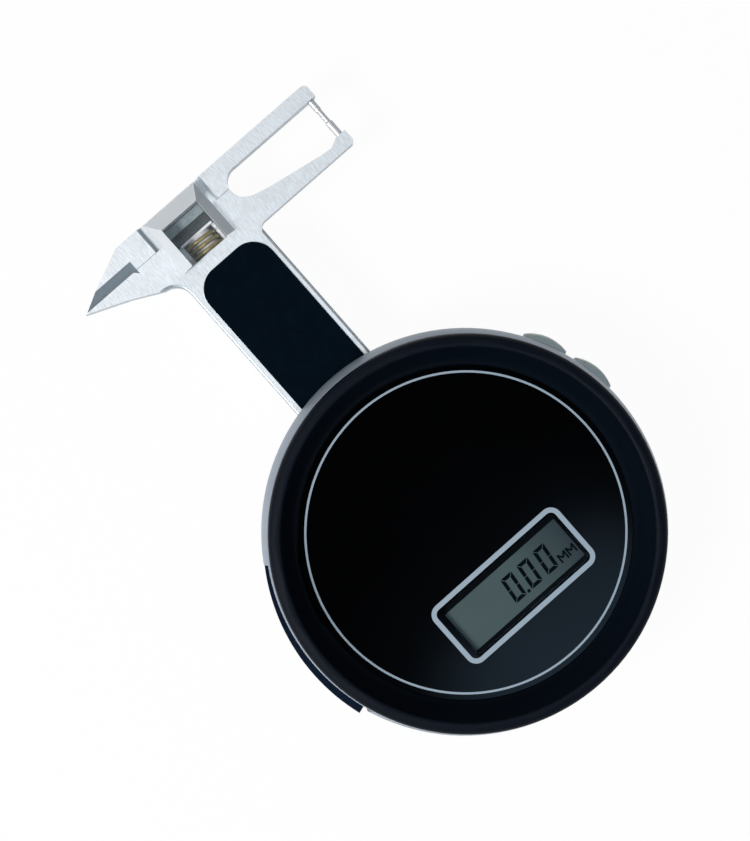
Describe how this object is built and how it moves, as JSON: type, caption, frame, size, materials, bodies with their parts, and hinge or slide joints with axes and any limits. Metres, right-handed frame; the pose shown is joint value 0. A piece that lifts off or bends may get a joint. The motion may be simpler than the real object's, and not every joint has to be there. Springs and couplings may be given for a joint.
{
  "type": "digital gemstone caliper",
  "caption": "Round-cased digital gem gauge with a flat sliding stem, knife-edge beak jaws, a contact-pin window, a thumb lever and a display.",
  "frame": {"origin": "centre of the flat back face of the round case", "axes": "+Z out of the display face, +Y along the stem towards the head, +X towards the push buttons"},
  "size_m": [0.0656, 0.1015, 0.0198],
  "materials": {
    "satin_ring": "satin silver-grey coat",
    "black_bezel": "fine matt texture",
    "face_black": "glossy black",
    "clear_window": "clear",
    "seal_rubber": "matt black",
    "lcd_glass": "grey-green display glass",
    "board_green": "green board",
    "switch_black": "moulded",
    "steel_screw": "plain",
    "back_black": "fine matt texture",
    "plate_steel": "stamped",
    "head_steel": "fine diagonal brushing",
    "brass_part": "turned",
    "pin_steel": "polished",
    "clear_cover": "clear moulded",
    "gold_spring": "gold plated",
    "pale_guide": "natural moulded",
    "label_black": "satin black film",
    "lever_black": "satin black",
    "button_grey": "light grey",
    "cell_steel": "pressed",
    "holder_black": "moulded",
    "contact_metal": "plated"
  },
  "bodies": {
    "case": {"case_ring": "satin_ring", "bezel": "black_bezel", "face_panel": "face_black", "display_window": "clear_window", "face_gasket": "seal_rubber", "lcd_module": "lcd_glass", "lcd_holder": "holder_black", "zebra_strips": "seal_rubber", "circuit_board": "board_green", "tact_switches": "switch_black", "board_screws": "steel_screw", "back_cover": "back_black", "back_screws": "steel_screw", "base_plate": "plate_steel", "rear_rail": "head_steel", "rail_screws": "steel_screw", "jaw_screws": "steel_screw", "guide_blocks": "brass_part", "guide_cap": "plate_steel", "guide_screws": "steel_screw", "upper_jaw": "head_steel", "upper_pin": "pin_steel", "spring_cover": "clear_cover", "spring_anchor": "plate_steel", "anchor_screw": "steel_screw", "spring_guide": "pale_guide", "gear_axle": "pin_steel", "gear_clip": "steel_screw", "lever_pivot_pin": "pin_steel", "lever_clip": "steel_screw", "battery": "cell_steel", "battery_holder": "holder_black", "battery_contact_minus": "contact_metal", "battery_contact_plus": "contact_metal", "closing_spring": "gold_spring"},
    "jaw": {"lower_jaw_beam": "head_steel", "lower_pin": "pin_steel", "stem_label": "label_black", "spring_hook_pin": "pin_steel"},
    "lever": {"thumb_lever": "lever_black"},
    "compound_gear": {"gear_pinion": "pin_steel", "gear_wheel": "brass_part"},
    "push_button_1": {"button_1": "button_grey"},
    "push_button_2": {"button_2": "button_grey"},
    "cover": {"battery_cover": "back_black", "battery_seal": "seal_rubber"}
  },
  "joints": [
    {"name": "lever_pivot", "type": "hinge", "parent": "case", "child": "lever", "pos_m": [-0.02475, 0.01288, 0.0109], "axis": [0, 0, 1], "range_deg": [0, 18.09]},
    {"name": "jaw_slide", "type": "slide", "parent": "case", "child": "jaw", "axis": [0, -1, 0], "range_m": [0, 0.025], "stiffness_N_per_m": 60, "deforming": ["closing_spring"]},
    {"name": "gear_turn", "type": "hinge", "parent": "case", "child": "compound_gear", "pos_m": [-0.01725, -0.00148, 0.008], "axis": [0, 0, 1], "range_deg": [-144.69, 0]},
    {"name": "button_1_push", "type": "slide", "parent": "case", "child": "push_button_1", "axis": [-0.9045, -0.4266, 0], "range_m": [0, 0.0005], "stiffness_N_per_m": 400},
    {"name": "button_2_push", "type": "slide", "parent": "case", "child": "push_button_2", "axis": [-0.9863, -0.165, 0], "range_m": [0, 0.0005], "stiffness_N_per_m": 400},
    {"name": "cover_turn", "type": "hinge", "parent": "case", "child": "cover", "pos_m": [0, -0.0135, 0.001], "axis": [0, 0, -1], "range_deg": [0, 30]}
  ],
  "couplings": [
    {"joint": "lever_pivot", "follows": "jaw_slide", "rad_per_m": 12.626},
    {"joint": "gear_turn", "follows": "jaw_slide", "rad_per_m": -101.01}
  ]
}
